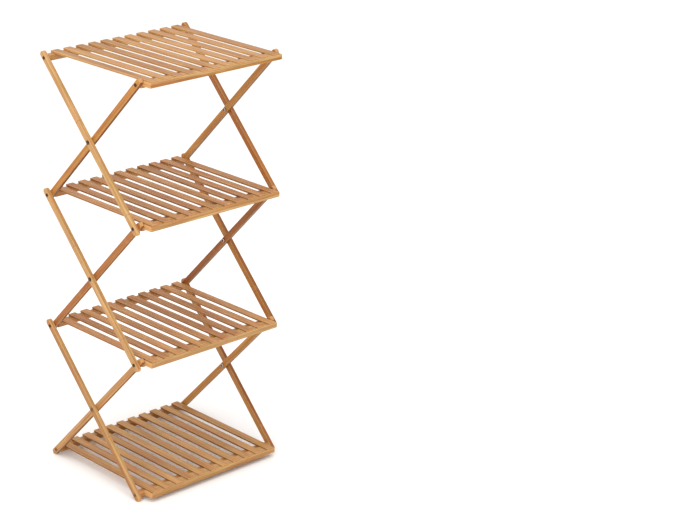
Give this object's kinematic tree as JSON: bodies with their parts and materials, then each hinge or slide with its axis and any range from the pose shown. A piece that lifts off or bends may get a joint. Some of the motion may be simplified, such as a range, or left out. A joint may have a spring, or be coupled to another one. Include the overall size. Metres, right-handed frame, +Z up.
{
  "type": "folding slatted shelf",
  "caption": "Folding slatted bamboo shelf unit whose tiers stand on crossed scissor legs that fold flat.",
  "frame": {"origin": "on the floor, in the middle of the open shelf's plan", "axes": "+X to the user's right, +Y from front to back, +Z up"},
  "size_m": [0.4176, 0.3496, 0.9638],
  "materials": {
    "bamboo_legs": "satin lacquered bamboo, long fibres",
    "bamboo_slats": "satin lacquered bamboo strips",
    "bamboo_battens": "satin laminated bamboo",
    "bamboo_bars": "satin laminated bamboo",
    "dark_steel": "dark nickel plate, socket heads",
    "bright_steel": "bright zinc plate",
    "brad_steel": "plain wire"
  },
  "bodies": {
    "base": {"front_bar_bottom": "bamboo_bars", "front_screws_bottom": "dark_steel"},
    "outer_legs_bottom": {"outer_leg_bottom_left": "bamboo_legs", "outer_leg_bottom_right": "bamboo_legs", "cross_bolts_bottom": "dark_steel", "cross_nuts_bottom": "bright_steel"},
    "inner_legs_bottom": {"inner_leg_bottom_left": "bamboo_legs", "inner_leg_bottom_right": "bamboo_legs", "front_bar_lower": "bamboo_bars", "front_screws_lower": "dark_steel"},
    "outer_legs_middle": {"outer_leg_middle_left": "bamboo_legs", "outer_leg_middle_right": "bamboo_legs", "cross_bolts_middle": "dark_steel", "cross_nuts_middle": "bright_steel"},
    "inner_legs_middle": {"inner_leg_middle_left": "bamboo_legs", "inner_leg_middle_right": "bamboo_legs", "front_bar_upper": "bamboo_bars", "front_screws_upper": "dark_steel"},
    "outer_legs_top": {"outer_leg_top_left": "bamboo_legs", "outer_leg_top_right": "bamboo_legs", "cross_bolts_top": "dark_steel", "cross_nuts_top": "bright_steel"},
    "inner_legs_top": {"inner_leg_top_left": "bamboo_legs", "inner_leg_top_right": "bamboo_legs", "front_bar_top": "bamboo_bars", "front_screws_top": "dark_steel"},
    "shelf_bottom": {"slats_bottom": "bamboo_slats", "front_batten_bottom": "bamboo_battens", "back_bar_bottom": "bamboo_bars", "back_screws_bottom": "dark_steel", "slat_brads_bottom": "brad_steel"},
    "shelf_lower": {"slats_lower": "bamboo_slats", "front_batten_lower": "bamboo_battens", "back_bar_lower": "bamboo_bars", "back_screws_lower": "dark_steel", "slat_brads_lower": "brad_steel"},
    "shelf_upper": {"slats_upper": "bamboo_slats", "front_batten_upper": "bamboo_battens", "back_bar_upper": "bamboo_bars", "back_screws_upper": "dark_steel", "slat_brads_upper": "brad_steel"},
    "shelf_top": {"slats_top": "bamboo_slats", "front_batten_top": "bamboo_battens", "back_bar_top": "bamboo_bars", "back_screws_top": "dark_steel", "slat_brads_top": "brad_steel"}
  },
  "joints": [
    {"name": "front_foot", "type": "hinge", "parent": "base", "child": "outer_legs_bottom", "pos_m": [0, -0.13883, 0.013], "axis": [1, 0, 0], "range_deg": [0, 40]},
    {"name": "fold", "type": "hinge", "parent": "outer_legs_bottom", "child": "inner_legs_bottom", "pos_m": [0, 0.01117, 0.16915], "axis": [-1, 0, 0], "range_deg": [0, 80]},
    {"name": "front_pivot_lower", "type": "hinge", "parent": "inner_legs_bottom", "child": "outer_legs_middle", "pos_m": [0, -0.13883, 0.3253], "axis": [1, 0, 0], "range_deg": [0, 80]},
    {"name": "crossing_middle", "type": "hinge", "parent": "outer_legs_middle", "child": "inner_legs_middle", "pos_m": [0, 0.01117, 0.48145], "axis": [-1, 0, 0], "range_deg": [0, 80]},
    {"name": "front_pivot_upper", "type": "hinge", "parent": "inner_legs_middle", "child": "outer_legs_top", "pos_m": [0, -0.13883, 0.6376], "axis": [1, 0, 0], "range_deg": [0, 80]},
    {"name": "crossing_top", "type": "hinge", "parent": "outer_legs_top", "child": "inner_legs_top", "pos_m": [0, 0.01117, 0.79375], "axis": [-1, 0, 0], "range_deg": [0, 80]},
    {"name": "shelf_lift_bottom", "type": "hinge", "parent": "inner_legs_bottom", "child": "shelf_bottom", "pos_m": [0, 0.16118, 0.013], "axis": [-1, 0, 0], "range_deg": [0, 50]},
    {"name": "shelf_lift_lower", "type": "hinge", "parent": "outer_legs_bottom", "child": "shelf_lower", "pos_m": [0, 0.16118, 0.3253], "axis": [-1, 0, 0], "range_deg": [0, 130]},
    {"name": "shelf_lift_upper", "type": "hinge", "parent": "outer_legs_middle", "child": "shelf_upper", "pos_m": [0, 0.16118, 0.6376], "axis": [-1, 0, 0], "range_deg": [0, 130]},
    {"name": "shelf_lift_top", "type": "hinge", "parent": "outer_legs_top", "child": "shelf_top", "pos_m": [0, 0.16118, 0.9499], "axis": [-1, 0, 0], "range_deg": [0, 130]}
  ],
  "couplings": [
    {"joint": "front_foot", "follows": "fold", "ratio": 0.5},
    {"joint": "front_pivot_lower", "follows": "fold", "ratio": 1},
    {"joint": "crossing_middle", "follows": "fold", "ratio": 1},
    {"joint": "front_pivot_upper", "follows": "fold", "ratio": 1},
    {"joint": "crossing_top", "follows": "fold", "ratio": 1},
    {"joint": "shelf_lift_bottom", "follows": "fold", "ratio": 0.625},
    {"joint": "shelf_lift_lower", "follows": "fold", "ratio": 1.625},
    {"joint": "shelf_lift_upper", "follows": "fold", "ratio": 1.625},
    {"joint": "shelf_lift_top", "follows": "fold", "ratio": 1.625}
  ]
}
